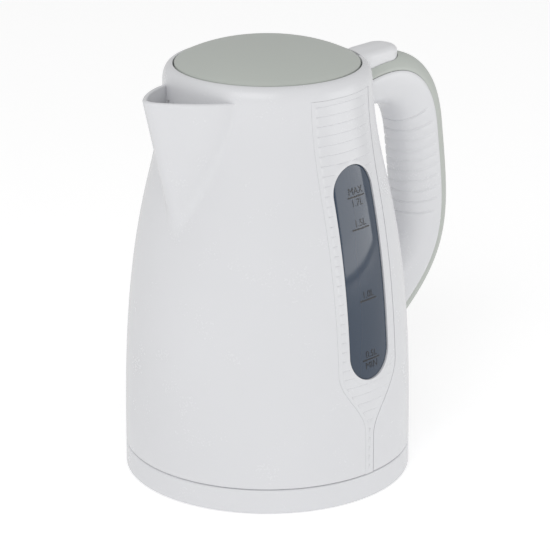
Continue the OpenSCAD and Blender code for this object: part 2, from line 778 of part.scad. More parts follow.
module handle_cover() {
    a = split_angle();
    color([0.69, 0.7, 0.68]) on_base() difference() {
        folded_skin(handle_rings(-a, a, cover_wall, even_stations(arm_u, tail_u, 26)));
        translate([0, 0, jug_h - 30]) linear_extrude(60) button_plan(move_gap);
        tail = spine(tail_u - 0.12);
        translate([tail[0], 0, tail[1]]) rotate([0, 140, 0]) cylinder(r = 2, h = 40);
    }
}

module cover_screw() {
    tail = spine(tail_u - 0.12);
    color("silver") on_base() translate([tail[0], 0, tail[1]]) rotate([0, 140, 0])
        translate([0, 0, 2]) cylinder(r = 1.8, h = 12);
}

// ---------------------------------------------------------------- lid button and latch

module button_plan(grow) {
    r = button_w / 2;
    for (s = [-1, 1]) translate([button_x + s * (button_l / 2 - r), 0]) circle(r + grow);
    translate([button_x - button_l / 2 + r, -r - grow]) square([button_l - 2 * r, button_w + 2 * grow]);
}

// Height of the crown of the handle over the foot, at the middle of the button
crown_z = spine(0.42)[1] + half_depth(0.42);
button_top = crown_z + button_rise;
skirt_low = arm_z + arm_t;

function button_ring(grow, z) = let (r = button_w / 2 + grow, c = button_l / 2 - button_w / 2)
    [for (i = [0:31]) let (a = 360 * (i + 0.5) / 32)
        [button_x + (cos(a) > 0 ? c : -c) + r * cos(a), r * sin(a), z]];

module lid_button() {
    color("gainsboro") on_base() difference() {
        skin(concat([button_ring(0, skirt_low)],
            [for (i = [0:5]) let (a = 15 * i)
                button_ring(-4 * (1 - cos(a)), button_top - 4 + 4 * sin(a))]));
        translate([button_x - button_l / 2 + button_w / 2, -button_w / 2 + 2, skirt_low - 1])
            cube([button_l - button_w, button_w - 4, button_top - skirt_low - 2.5]);
    }
}

module latch_arm() {
    color("lightgray") on_base() {
        translate([hook_x, -stem_w / 2, arm_z]) cube([button_x + 8 - hook_x, stem_w, arm_t - 0.05]);
        translate([hook_x, -stem_w / 2, arm_z]) cube([1.8, stem_w, arm_t + 0.7]);
        translate([button_x, 0, arm_z - 2]) cylinder(r = spring_r - spring_wire - 0.3, h = 2.5);
    }
}

spring_floor = spine(0.3)[1] - half_depth(0.3) + grip_wall + 0.6;
module button_spring() {
    color("silver") on_base() translate([button_x, 0, spring_floor])
        coil(spring_r, spring_wire, arm_z - spring_floor - 0.1, 4);
}

// ---------------------------------------------------------------- lid

// Prism along the hinge's axis, centred on the middle of the lid
module along_hinge(length) {
    translate([hinge_x, length / 2, hinge_z]) rotate([90, 0, 0]) linear_extrude(length) children();
}

function dome(r) = lid_edge_z + dome_h * (1 - pow(r / lid_r, 2.6));
function dome_line(r1, drop) = [for (i = [0:14]) let (r = r1 * (1 - i / 14)) [r, dome(r) - drop]];

module lid_cover() {
    in_r = lid_r - lid_wall;
    color([0.69, 0.7, 0.68]) on_base() difference() {
        rotate_extrude() polygon(concat(
            [[in_r, skirt_z], [lid_r, skirt_z], [lid_r, lid_edge_z - 0.7], [lid_r - 0.2, lid_edge_z - 0.2]],
            dome_line(lid_r - 0.7, 0), reversed(dome_line(in_r, lid_wall))));
        // the skirt stops short of the hinge, so that only the thin skin swings past the seat
        translate([hinge_x - 6, -pin_half + 0.6, skirt_z - 1])
            cube([12, 2 * pin_half - 1.2, lid_edge_z - lid_wall - skirt_z + 1]);
        along_hinge(2 * knuckle_y + 0.6) circle(knuckle_r + fit_gap);
        along_hinge(8.4) circle(lid_coil_r + lid_wire + fit_gap);
    }
}

module lid_liner() {
    top_r = lid_r - lid_wall - fit_gap;
    color("whitesmoke") on_base() difference() {
        union() {
            rotate_extrude() polygon([
                [0, plug_z], [plug_r - 1, plug_z], [plug_r, plug_z + 1], [plug_r, skirt_z + 0.2],
                [top_r, skirt_z + 0.2], [top_r, skirt_z + 0.9], [plug_r - 1.8, skirt_z + 0.9],
                [plug_r - 1.8, plug_z + 1.8], [0, plug_z + 1.8]]);
            for (s = [-1, 1]) translate([0, s * (knuckle_y - knuckle_l / 2), 0]) {
                along_hinge(knuckle_l) circle(knuckle_r);
                translate([hinge_x - knuckle_r, -knuckle_l / 2, skirt_z + 0.5])
                    cube([knuckle_r, knuckle_l, hinge_z - skirt_z - 0.5]);
            }
            translate([hinge_x - 2, -4, catch_z]) cube([1.4, 8, plug_z - catch_z + 1]);
            around(3, 30, 60) translate([0, 0, plug_z + 1])
                cylinder(r = 3, h = dome(33) - lid_wall - plug_z - 1.4);
        }
        along_hinge(60) circle(pin_r + run_gap);
        around(3, 30, 60) translate([0, 0, plug_z - 1]) cylinder(r = screw_r + run_gap, h = 11);
        for (i = [-2:2]) translate([-30 - abs(i), 5 * i - 1, plug_z - 1]) cube([14, 2, 4]);
    }
}

module liner_screws() {
    color("silver") on_base() around(3, 30, 60) translate([0, 0, plug_z - 1.05])
        screw(2.6, 1, screw_r, 9);
}

module lid_spring() {
    color("silver") on_base() translate([hinge_x, 3.8, hinge_z]) rotate([90, 0, 0])
        coil(lid_coil_r, lid_wire, 7.6, 6);
}

module hinge_pin() {
    color("silver") on_base() along_hinge(2 * pin_half) circle(pin_r);
}

base_shell();
base_plate();
base_feet();
base_screws();
base_connector();
base_contacts();
jug_shell();
window_right();
window_left();
gauge_trim_right();
gauge_trim_left();
spout_filter();
filter_mesh();
element_plate();
plate_seal();
heating_element();
control_body();
bimetal_discs();
socket_contacts();
jug_bottom();
bottom_screws();
switch_pin();
handle_grip();
handle_cover();
cover_screw();
button_spring();
hinge_pin();
lid_cover();
lid_liner();
lid_spring();
liner_screws();
lid_button();
latch_arm();
switch_lever();
trip_rod();
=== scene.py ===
"""Looks of a cordless kettle that stands on its power base.

Lengths are in millimetres in the row's frame: +Z up, spout along -X, handle along +X, and the two
level gauges facing -Y and +Y. Heights on the jug are measured from its foot, at FOOT_Z."""

import math
from contextlib import contextmanager

import bpy
import numpy as np
from mathutils import Matrix, Vector


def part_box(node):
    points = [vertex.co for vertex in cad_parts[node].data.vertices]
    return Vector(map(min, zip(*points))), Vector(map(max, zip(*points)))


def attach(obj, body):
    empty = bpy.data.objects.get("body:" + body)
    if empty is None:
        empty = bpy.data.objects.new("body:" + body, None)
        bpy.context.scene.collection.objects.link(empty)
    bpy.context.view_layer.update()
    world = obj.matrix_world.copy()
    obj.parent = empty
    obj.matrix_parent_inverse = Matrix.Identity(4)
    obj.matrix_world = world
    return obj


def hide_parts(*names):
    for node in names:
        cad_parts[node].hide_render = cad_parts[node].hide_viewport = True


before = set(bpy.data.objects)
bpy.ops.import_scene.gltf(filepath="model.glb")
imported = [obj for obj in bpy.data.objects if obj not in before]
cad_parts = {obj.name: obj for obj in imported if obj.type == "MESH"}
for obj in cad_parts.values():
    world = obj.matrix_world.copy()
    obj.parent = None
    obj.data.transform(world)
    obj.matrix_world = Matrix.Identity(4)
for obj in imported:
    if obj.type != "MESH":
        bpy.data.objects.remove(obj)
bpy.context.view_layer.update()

# ------------------------------------------------------------------ power base
# The base is a shallow moulded drum with an eased edge, over a screwed plate on five rubber feet.
# The connector stands up through its middle, and the notch for the cord stays empty.

MM = 0.001


def corners(node):
    """Lowest and highest corner of a piece of the frame, in millimetres."""
    return [[v / MM for v in corner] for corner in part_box(node)]


BASE_R, BASE_H = corners("base_shell")[1][1:]
BASE_LOW, BASE_WALL, BASE_EASE, BASE_CHAMFER = 0.6, 2.4, 1.0, 0.3
CONNECTOR_HOLE_R = 16.2
NOTCH_W, NOTCH_H, NOTCH_FROM, NOTCH_TO = 8, 8, BASE_R - 6, BASE_R + 4
OVERCUT = 1


@contextmanager
def editing(obj):
    """Edit mode on one object, with all of it selected."""
    pick(obj)
    bpy.ops.object.mode_set(mode="EDIT")
    bpy.ops.mesh.select_all(action="SELECT")
    yield
    bpy.ops.object.mode_set(mode="OBJECT")


def pick(obj):
    """Selects one object alone and makes it active."""
    bpy.ops.object.select_all(action="DESELECT")
    obj.select_set(True)
    bpy.context.view_layer.objects.active = obj


def arc(centre, radius, start, end, count, height=None):
    """Points on an arc, or on an ellipse where height is given. Angles are in degrees."""
    tall = radius if height is None else height
    return [(centre[0] + radius * math.cos(a), centre[1] + tall * math.sin(a))
            for a in np.radians(np.linspace(start, end, count))]


def turned(name, profile, lift=0.0, steps=192):
    """Spins a closed line of (radius, height) round the upright axis, as on a lathe."""
    bpy.ops.mesh.primitive_circle_add(vertices=len(profile))
    obj = bpy.context.object
    obj.name = name
    for point, (r, z) in zip(obj.data.vertices, profile):
        point.co = (r * MM, 0, (z + lift) * MM)
    with editing(obj):
        bpy.ops.mesh.spin(steps=steps, angle=math.tau, center=(0, 0, 0), axis=(0, 0, 1))
        bpy.ops.mesh.remove_doubles(threshold=0.0005 * MM)
        bpy.ops.mesh.normals_make_consistent(inside=False)
    return obj


def block(low, high):
    """Plain block, to cut with."""
    middle = [(a + b) / 2 * MM for a, b in zip(low, high)]
    size = [(b - a) * MM for a, b in zip(low, high)]
    bpy.ops.mesh.primitive_cube_add(size=1, location=middle, scale=size)
    return bpy.context.object


def cut(obj, *tools):
    """Takes the tools out of a piece."""
    for tool in tools:
        step = obj.modifiers.new("cut", "BOOLEAN")
        step.operation, step.object, step.solver = "DIFFERENCE", tool, "EXACT"
        pick(obj)
        bpy.ops.object.modifier_apply(modifier=step.name)
        bpy.data.objects.remove(tool)


class Socket:
    """Output of a shader node, which can be added and multiplied, from either side."""

    def __init__(self, graph, link):
        self.graph, self.link = graph, link

    def maths(self, operation, first, second):
        return self.graph.node("ShaderNodeMath", {"operation": operation}, {0: first, 1: second})

    def __add__(self, other):
        return self.maths("ADD", self, other)

    def __mul__(self, other):
        return self.maths("MULTIPLY", self, other)

    __radd__, __rmul__ = __add__, __mul__


class Graph:
    """Nodes of a material or of the world."""

    def __init__(self, tree):
        self.tree = tree

    def node(self, kind, settings=None, sockets=None, output=0):
        made = self.tree.nodes.new(kind)
        for name, value in (settings or {}).items():
            if name == "stops":
                for stop, (place, colour) in zip(made.color_ramp.elements, value):
                    stop.position, stop.color = place, (*colour, 1)
            else:
                setattr(made, name, value)
        for name, value in (sockets or {}).items():
            self.feed(made.inputs[name], value)
        return Socket(self, made.outputs[output])

    def feed(self, entry, value):
        if isinstance(value, Socket):
            self.tree.links.new(value.link, entry)
        else:
            entry.default_value = value


class Finish(Graph):
    """Material on one shader, with the patterns that its finishes share."""

    def __init__(self, name, colour, **values):
        self.material = bpy.data.materials.new(name)
        self.material.use_nodes = True
        super().__init__(self.material.node_tree)
        self.colour = colour
        self.set(base_color=(*colour, 1), **values)
        self.place = self.node("ShaderNodeTexCoord", output="Object")

    def set(self, **values):
        for name, value in values.items():
            entry = name.replace("_", " ").title().replace("Ior", "IOR")
            self.feed(self.tree.nodes["Principled BSDF"].inputs[entry], value)

    def noise(self, scale, detail=2, stretch=None):
        place = self.place
        if stretch:
            place = self.node("ShaderNodeMapping", None, {"Vector": place, "Scale": stretch})
        return self.node("ShaderNodeTexNoise", None,
                         {"Vector": place, "Scale": scale, "Detail": detail}, "Fac")

    def relief(self, height, depth):
        """Raises the surface by up to a depth in metres."""
        self.set(normal=self.node("ShaderNodeBump", None, {"Height": height, "Distance": depth},
                                  "Normal"))

    def drift(self, factor, spread):
        """Lets the colour vary a little on both sides of its even value."""
        stops = [(0.3, [c * (1 - spread) for c in self.colour]),
                 (0.7, [min(1, c * (1 + spread)) for c in self.colour])]
        self.set(base_color=self.node("ShaderNodeValToRGB", {"stops": stops}, {"Fac": factor},
                                      "Color"))


def moulded(name, colour, roughness, grain, depth, **values):
    """Moulded plastic, whose gloss is a little uneven over a fine grain."""
    fine_share, broad_share = 0.06, 0.05
    finish = Finish(name, colour, **values)
    fine, broad = finish.noise(grain, 3), finish.noise(60)
    finish.drift(finish.noise(14), 0.012)
    even = roughness - (fine_share + broad_share) / 2
    finish.set(roughness=fine * fine_share + broad * broad_share + even)
    finish.relief(fine, depth)
    return finish.material


def metal(name, colour, roughness, stretch=None):
    """Drawn or plated metal, with fine marks that a stretch draws out along the piece."""
    mark_share, mark_depth = 0.2, 0.00001
    finish = Finish(name, colour, metallic=1.0)
    marks = finish.noise(900, 2, stretch)
    finish.drift(finish.noise(80), 0.06)
    finish.set(roughness=marks * mark_share + (roughness - mark_share / 2))
    finish.relief(marks, mark_depth)
    return finish.material


WHITE = moulded("gloss_white", (0.75, 0.755, 0.775), roughness=0.26, grain=900, depth=0.000004,
                ior=1.46)
PLATE = moulded("plate_white", (0.70, 0.705, 0.71), roughness=0.38, grain=900, depth=0.00001)
PALE = moulded("natural_white", (0.7, 0.7, 0.68), roughness=0.4, grain=900, depth=0.00001)
RUBBER = moulded("foot_rubber", (0.11, 0.11, 0.115), roughness=0.75, grain=1200, depth=0.00003)
ZINC = metal("zinc_steel", (0.66, 0.66, 0.68), roughness=0.28)
BRASS = metal("brass", (0.78, 0.6, 0.3), roughness=0.3)


def finish_piece(obj, material, body, slot, *nodes, smooth=32):
    """Shades and paints a piece, and lets it ride on its body in place of the named nodes."""
    pick(obj)
    bpy.ops.object.shade_smooth_by_angle(angle=math.radians(smooth))
    obj.data.materials.clear()
    obj.data.materials.append(material)
    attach(obj, body)
    if nodes:
        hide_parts(*nodes)


def paint(material, *nodes):
    """Gives pieces of the frame their finish."""
    for node in nodes:
        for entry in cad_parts[node].material_slots:
            entry.material = material


base = turned("base_ring", [
    (CONNECTOR_HOLE_R, BASE_H), (CONNECTOR_HOLE_R, BASE_H - BASE_WALL),
    (BASE_R - BASE_WALL, BASE_H - BASE_WALL), (BASE_R - BASE_WALL, BASE_LOW),
    (BASE_R - BASE_CHAMFER, BASE_LOW), (BASE_R, BASE_LOW + BASE_CHAMFER),
    *arc((BASE_R - BASE_EASE, BASE_H - BASE_EASE), BASE_EASE, 0, 90, 8)])
cut(base, block((NOTCH_FROM, -NOTCH_W / 2, -OVERCUT), (NOTCH_TO, NOTCH_W / 2, NOTCH_H)))
finish_piece(base, WHITE, "power_base", "white_plastic", "base_shell")
paint(PLATE, "base_plate")
paint(RUBBER, "base_feet")
paint(ZINC, "base_screws")
paint(PALE, "base_connector")
paint(BRASS, "base_contacts")

# ------------------------------------------------------------------ jug
# The jug is one glossy white moulding that narrows upwards to a neck with a rounded shoulder, in
# which the lid sits. The gauges, the spout's slots, the hinge, latch and switch are let into it.

FOOT_Z = corners("jug_shell")[0][2]
JUG_H = corners("jug_shell")[1][2] - FOOT_Z
FOOT_R, WAIST_R, NECK_R = BASE_R, 62.2, 54.0
WAIST_H, WAIST_SLOPE = 145.5, 0.247
WALL, FOOT_CHAMFER = 2.5, 0.5
SHOULDER_H, SHOULDER_LIP = 8.1, 0.3
NECK_TOP, SHOULDER_Z = JUG_H - 3.3, JUG_H - SHOULDER_H
LID_R = corners("lid_cover")[1][1]
MOUTH_R, MOUTH_EASE, MOUTH_EASE_H = LID_R + 0.8, 0.05, 0.12
MOUTH_CHAMFER = 0.4
SEAT_R, SEAT_Z, SEAT_H = LID_R - 1.3, JUG_H - 5.7, 3.3
PLATE_Z, PLATE_SEAT_R, PLATE_SEAT_H = 33.4, 57.5, 2.8
VESSEL_LOW, VESSEL_HIGH = 37, JUG_H - 14
HINGE_X, HINGE_Z = 44.5, JUG_H - 2.3
# Radii and half-lengths of the room that the hinge's knuckles, spring and pin turn in, and the
# crescent behind the mouth that the lid's edge swings through, as (x from the hinge, y).
HINGE_ROOM = [(4.9, 9), (4.3, 15), (3.5, 20), (1.2, 25.2)]
CRESCENT = [(5.1, 0), (5, 5), (4.75, 9), (4.4, 12), (4, 15), (3.45, 18), (2.8, 20.6), (2.1, 22.2),
            (0.6, 23.4), (-3, 23.4)]
CRESCENT_DROP, CRESCENT_H = 0.3, 6
SLOT_COUNT, SLOT_W, SLOT_TURN, SLOT_OUT, SLOT_IN = 7, 2, 7, 3, 6
SLOT_LOW, SLOT_HIGH = JUG_H - 38, JUG_H - 14.6
LATCH_W, LATCH_LOW, LATCH_HIGH, LATCH_REACH = 6.8, 180.9, 188.4, 20
SWITCH_W, SWITCH_LOW, SWITCH_HIGH, SWITCH_FROM, SWITCH_TO = 15.8, 8.1, 16.2, 63, FOOT_R + 10


def blend(t):
    """Smooth step from 0 to 1."""
    t = np.clip(t, 0, 1)
    return t * t * (3 - 2 * t)


def hermite(a, b, slope_a, slope_b, t):
    """Smooth curve from a to b, with its slopes at both ends."""
    return a + (b - a) * blend(t) + slope_a * (t**3 - 2 * t**2 + t) + slope_b * (t**3 - t**2)


def jug_r(z):
    """Outer radius of the jug at a height over its foot."""
    if z < WAIST_H:
        return float(hermite(FOOT_R, WAIST_R, 0, -WAIST_SLOPE * WAIST_H, max(0, z) / WAIST_H))
    t = min(1, (z - WAIST_H) / (NECK_TOP - WAIST_H))
    return float(hermite(WAIST_R, NECK_R, -WAIST_SLOPE * (NECK_TOP - WAIST_H), 0, t))


def drum(r, half):
    """Round bar along the hinge's axis, to cut with."""
    bpy.ops.mesh.primitive_cylinder_add(
        vertices=64, radius=r * MM, depth=2 * half * MM, rotation=(math.pi / 2, 0, 0),
        location=(HINGE_X * MM, 0, (HINGE_Z + FOOT_Z) * MM))
    return bpy.context.object


def plan_block(outline, low, high):
    """Upright block on an outline of (x, y), to cut with."""
    bpy.ops.mesh.primitive_circle_add(vertices=len(outline), fill_type="NGON")
    obj = bpy.context.object
    for point, (x, y) in zip(obj.data.vertices, outline):
        point.co = (x * MM, y * MM, low * MM)
    with editing(obj):
        rise = (0, 0, (high - low) * MM)
        bpy.ops.mesh.extrude_region_move(TRANSFORM_OT_translate={"value": rise})
        bpy.ops.mesh.select_all(action="SELECT")
        bpy.ops.mesh.normals_make_consistent(inside=False)
    return obj


shoulder_r = MOUTH_R + SHOULDER_LIP
jug = turned("jug_body", [
    (FOOT_R - FOOT_CHAMFER, 0),
    *[(jug_r(z), z) for z in np.linspace(FOOT_CHAMFER, SHOULDER_Z, 96)],
    *arc((shoulder_r, SHOULDER_Z), NECK_R - shoulder_r, 8, 90, 11, SHOULDER_H),
    (MOUTH_R + MOUTH_EASE, JUG_H - MOUTH_EASE_H), (MOUTH_R, JUG_H - MOUTH_CHAMFER),
    (MOUTH_R, SEAT_Z), (SEAT_R, SEAT_Z), (SEAT_R, SEAT_Z - SEAT_H),
    *[(jug_r(z) - WALL, z) for z in np.linspace(VESSEL_HIGH, VESSEL_LOW, 48)],
    (PLATE_SEAT_R, PLATE_Z + PLATE_SEAT_H), (PLATE_SEAT_R, PLATE_Z), (FOOT_R - WALL, PLATE_Z),
    (FOOT_R - WALL, 0)], lift=FOOT_Z, steps=240)
for i in range(SLOT_COUNT):
    slot = block((-NECK_R - SLOT_OUT, -SLOT_W / 2, SLOT_LOW + FOOT_Z),
                 (-NECK_R + SLOT_IN, SLOT_W / 2, SLOT_HIGH + FOOT_Z))
    turn = math.radians(SLOT_TURN * (i - (SLOT_COUNT - 1) / 2))
    slot.matrix_world = Matrix.Rotation(turn, 4, "Z") @ slot.matrix_world
    cut(jug, slot)
for r, half in HINGE_ROOM:
    cut(jug, drum(r, half))
crescent = ([(HINGE_X + x, y) for x, y in CRESCENT]
            + [(HINGE_X + x, -y) for x, y in CRESCENT[:0:-1]])
cut(jug, plan_block(crescent, HINGE_Z + FOOT_Z - CRESCENT_DROP, HINGE_Z + FOOT_Z + CRESCENT_H))
cut(jug, block((HINGE_X, -LATCH_W / 2, LATCH_LOW + FOOT_Z),
               (HINGE_X + LATCH_REACH, LATCH_W / 2, LATCH_HIGH + FOOT_Z)),
    block((SWITCH_FROM, -SWITCH_W / 2, SWITCH_LOW + FOOT_Z),
          (SWITCH_TO, SWITCH_W / 2, SWITCH_HIGH + FOOT_Z)))


def true_normals(obj):
    """Gives the outer wall the normals of the smooth curve that it follows."""
    near, step, same_side = 0.03, 0.2, 0.9
    mesh = obj.data
    normals = [Vector(n.vector) for n in mesh.corner_normals]
    for face in mesh.polygons:
        for k in face.loop_indices:
            p = mesh.vertices[mesh.loops[k].vertex_index].co / MM
            z, r = p.z - FOOT_Z, math.hypot(p.x, p.y)
            if FOOT_CHAMFER < z < SHOULDER_Z - step and abs(r - jug_r(z)) < near:
                slope = (jug_r(z + step) - jug_r(z - step)) / (2 * step)
                normal = Vector((p.x / r, p.y / r, -slope)).normalized()
                if normal.dot(face.normal) > same_side:
                    normals[k] = normal
    mesh.normals_split_custom_set(normals)


# ------------------------------------------------------------------ spout
# The spout is a leaning wedge with a round nose and bowed sides, moulded with the jug. Its outside
# runs into the wall through a fillet that tightens towards the rim, and the rim is rounded.

APEX_H, SPOUT_LEAN = 132.9, math.radians(14.6)
NOSE_R, NOSE_TURN, SIDE_R = 8.5, math.radians(42.0), 75.0
SPOUT_WALL, SPOUT_DEPTH, SPOUT_SPAN = 2.3, 46, math.radians(46)
RIM_Z, RIM_SLOPE, RIM_EASE = JUG_H - 8.1, math.tan(math.radians(4.0)), 1.0
FILLET_LOW, FILLET_HIGH = 4.0, 0.9
UNDER_SKIN, SKIN_BELOW, IN_WALL = 0.04, 9, 0.6
COLUMNS, CROWDING = 141, 0.35


def skinned(name, rings, closed=True, capped=True):
    """Lays a grid over rings of points, and joins and closes its edges where asked."""
    across = len(rings[0]) + closed
    bpy.ops.mesh.primitive_grid_add(x_subdivisions=across - 1, y_subdivisions=len(rings) - 1)
    obj = bpy.context.object
    obj.name = name
    spots = [ring[i % len(ring)] for ring in rings for i in range(across)]
    for point, (x, y, z) in zip(obj.data.vertices, spots):
        point.co = (x * MM, y * MM, (z + FOOT_Z) * MM)
    with editing(obj):
        bpy.ops.mesh.remove_doubles(threshold=0.0005 * MM)
        if capped:
            bpy.ops.mesh.fill_holes(sides=0)
        bpy.ops.mesh.normals_make_consistent(inside=False)
    return obj


def spout_r(inset, z, turn):
    """Distance of the spout's wall from the jug's axis, at a turn away from the nose."""
    far = SIDE_R - NOSE_R
    middle = (NOSE_R + far * math.cos(NOSE_TURN), far * math.sin(NOSE_TURN))
    reach = math.acos((SPOUT_DEPTH - middle[0]) / (SIDE_R - inset))
    a = np.linspace(0, NOSE_TURN, 24)
    b = np.linspace(math.pi - NOSE_TURN, reach, 40)[1:]
    depth = np.concatenate([NOSE_R - (NOSE_R - inset) * np.cos(a),
                            middle[0] + (SIDE_R - inset) * np.cos(b)])
    width = np.concatenate([(NOSE_R - inset) * np.sin(a),
                            -middle[1] + (SIDE_R - inset) * np.sin(b)])
    forward = (jug_r(APEX_H) + (z - APEX_H) * math.tan(SPOUT_LEAN)
               - depth / math.cos(SPOUT_LEAN))
    return float(np.interp(abs(turn), np.arctan2(width, forward), np.hypot(width, forward), right=0))


def soft_max(a, b, fillet):
    """The larger of two radii, with a fillet where they meet."""
    share = max(0.0, fillet - abs(a - b)) / fillet
    return max(a, b) + share * share * fillet / 4


def spout_skin(z, turn):
    """Outer surface of spout and wall together, which lies just under the wall's own skin."""
    down = blend((JUG_H - z) / (JUG_H - APEX_H))
    return soft_max(jug_r(z) - UNDER_SKIN, spout_r(0, z, turn),
                    FILLET_HIGH + (FILLET_LOW - FILLET_HIGH) * down)


# Columns from one side over the nose to the other, closer together towards the nose's middle.
columns = []
for share in np.linspace(-1, 1, COLUMNS):
    turn = SPOUT_SPAN * share * abs(share) ** CROWDING
    top = RIM_Z
    for _ in range(4):
        top = RIM_Z + RIM_SLOPE * (spout_skin(top, turn) * math.cos(turn) - SPOUT_DEPTH)
    edge = top - RIM_EASE
    outer = [(spout_skin(z, turn), z) for z in np.linspace(APEX_H - SKIN_BELOW, edge, 70)]
    inner = [(max(spout_r(SPOUT_WALL, z, turn), jug_r(z) - IN_WALL), z)
             for z in np.linspace(edge - RIM_EASE / 5, APEX_H, 40)]
    r_out, r_in = outer[-1][0], inner[0][0]
    rim = arc(((r_out + r_in) / 2, edge), (r_out - r_in) / 2, 15, 172, 8, RIM_EASE)
    columns.append([(-r * math.cos(turn), r * math.sin(turn), z) for r, z in outer + rim + inner])
spout = skinned("spout", columns)
finish_piece(spout, WHITE, "kettle", "white_plastic", smooth=60)

# ------------------------------------------------------------------ level gauges
# Each flank has a window of smoky plastic in a white trim. Inside a plain border the trim is cut
# into boards that overlap downwards, and below the window it narrows to a strip.

WINDOW_W, WINDOW_LOW, WINDOW_HIGH, WINDOW_X = 29.4, 51.6, 163.0, 3.4
WINDOW_DEPTH, WINDOW_REAR = 0.95, 2.4
WINDOW_GAP, WINDOW_EASE, WINDOW_ROUND = 0.05, 0.7, 0.4
TRIM_HALF_W, BORDER_W, STRIP_HALF_W, STRIP_X = 21.8, 2.2, 3.2, 2.2
TAPER_HIGH, TAPER_LOW, TAPER_STEP = 57.5, 22.5, 1.2
RIB_COUNT, RIB_PITCH, RIB_STEP, FIRST_RIB, FOOT_EDGE = 40, 5.0, 0.62, JUG_H - 5.9, 2.0
RIB_SINK, RIB_LIP, RIB_START, RIB_END, RIB_MARGIN = 0.1, 0.08, 0.8, 4.5, (1.2, 1.4)
TRIM_GAP, TRIM_SINK, TRIM_EASE, TRIM_DROP, PLAIN_TOP = 0.12, 0.08, 0.35, 0.3, 2
TRIM_LOW, TRIM_HIGH = 0.15, SHOULDER_Z - 0.15
BORDER_SHARE, BORDER_EASE = 0.3, 0.25
CUT_FROM, CUT_THROUGH = 20, 70


def trim_edges(z, inset=0.0):
    """Front and rear edge of a trim, from the window's centre line."""
    front = blend((z - TAPER_LOW - TAPER_STEP) / (TAPER_HIGH - TAPER_LOW - TAPER_STEP))
    rear = blend((z - TAPER_LOW + TAPER_STEP) / (TAPER_HIGH - TAPER_LOW + TAPER_STEP))
    return (-STRIP_X - STRIP_HALF_W + (STRIP_X + STRIP_HALF_W - TRIM_HALF_W) * front + inset,
            STRIP_HALF_W - STRIP_X + (TRIM_HALF_W - STRIP_HALF_W + STRIP_X) * rear - inset)


def on_side(side, s, z, depth):
    """Point on one flank, s from the window's centre line, depth below the jug's surface."""
    x = WINDOW_X + s
    return (x, side * math.sqrt((jug_r(z) - depth) ** 2 - x * x), z)


def flank_block(side, outline):
    """Block on an outline of (x, height) that goes in through one flank, to cut with."""
    bpy.ops.mesh.primitive_circle_add(vertices=len(outline), fill_type="NGON")
    obj = bpy.context.object
    for point, (x, z) in zip(obj.data.vertices, outline):
        point.co = (x * MM, side * CUT_FROM * MM, (z + FOOT_Z) * MM)
    with editing(obj):
        way = (0, side * CUT_THROUGH * MM, 0)
        bpy.ops.mesh.extrude_region_move(TRANSFORM_OT_translate={"value": way})
        bpy.ops.mesh.select_all(action="SELECT")
        bpy.ops.mesh.normals_make_consistent(inside=False)
    return obj


def trim_outline():
    """Outline that a trim's seat is cut to, past the foot of the jug."""
    levels = [-3, *np.linspace(TAPER_LOW - TAPER_STEP, TAPER_HIGH, 25), SHOULDER_Z]
    return ([(WINDOW_X + trim_edges(z)[0], z) for z in levels]
            + [(WINDOW_X + trim_edges(z)[1], z) for z in reversed(levels)])


def window_outline():
    """Outline of a window, with round ends."""
    half = WINDOW_W / 2
    return (arc((WINDOW_X, WINDOW_HIGH - half), half, 0, 180, 33)
            + arc((WINDOW_X, WINDOW_LOW + half), half, 180, 360, 33))


def window_edge(s, z):
    """Distance from a point to the window's outline, positive inside it."""
    half = WINDOW_W / 2
    core = min(max(z, WINDOW_LOW + half), WINDOW_HIGH - half)
    return half - math.hypot(s, z - core)


def rib_depth(s, z, front, rear):
    """Each board leans outwards, ends in a small step over the next, and fades at its ends."""
    if not FOOT_EDGE < z < min(FIRST_RIB, TRIM_HIGH - PLAIN_TOP):
        return RIB_SINK
    share = ((FIRST_RIB - z) % RIB_PITCH) / RIB_PITCH
    step = share / RIB_LIP if share < RIB_LIP else (1 - share) / (1 - RIB_LIP)
    margin, run = RIB_MARGIN
    fade = (blend((s - front) / RIB_START) * blend((rear - s) / min(RIB_END, (rear - front) / 2))
            * blend((-window_edge(s, z) - margin) / run))
    return RIB_SINK + RIB_STEP * step * fade


# Heights of a trim's sections: its ends, its taper, and four for each board.
rows = [TRIM_LOW, FOOT_EDGE, *np.arange(TAPER_LOW - 2, TAPER_HIGH, 1.2),
        TRIM_HIGH - PLAIN_TOP, TRIM_HIGH]
for i in range(RIB_COUNT):
    rows += [FIRST_RIB - (i + share) * RIB_PITCH for share in (-0.004, RIB_LIP, 0.4, 0.7)]
rows = sorted({round(z, 3) for z in rows if TRIM_LOW <= z <= TRIM_HIGH})


def trim_ring(side, z):
    """Section of a trim: rounded edges, the border, the carved face between, and the back."""
    front, rear = trim_edges(z, TRIM_GAP)
    bound = min(BORDER_W, (rear - front) * BORDER_SHARE)
    inner = min(bound + BORDER_EASE, (rear - front) / 2)
    line = ([(front, TRIM_DROP), (front + TRIM_EASE, TRIM_SINK), (front + bound, TRIM_SINK)]
            + [(s, rib_depth(s, z, front + inner, rear - inner))
               for s in np.linspace(front + inner, rear - inner, 44)]
            + [(rear - bound, TRIM_SINK), (rear - TRIM_EASE, TRIM_SINK), (rear, TRIM_DROP)])
    return ([on_side(side, s, z, d) for s, d in line]
            + [on_side(side, s, z, WALL) for s, _ in reversed(line)])


def window_depth(s, z):
    """Depth of the window's face, which rounds off at its edge."""
    return WINDOW_DEPTH + WINDOW_ROUND * max(0.0, 1 - window_edge(s, z) / WINDOW_EASE) ** 2


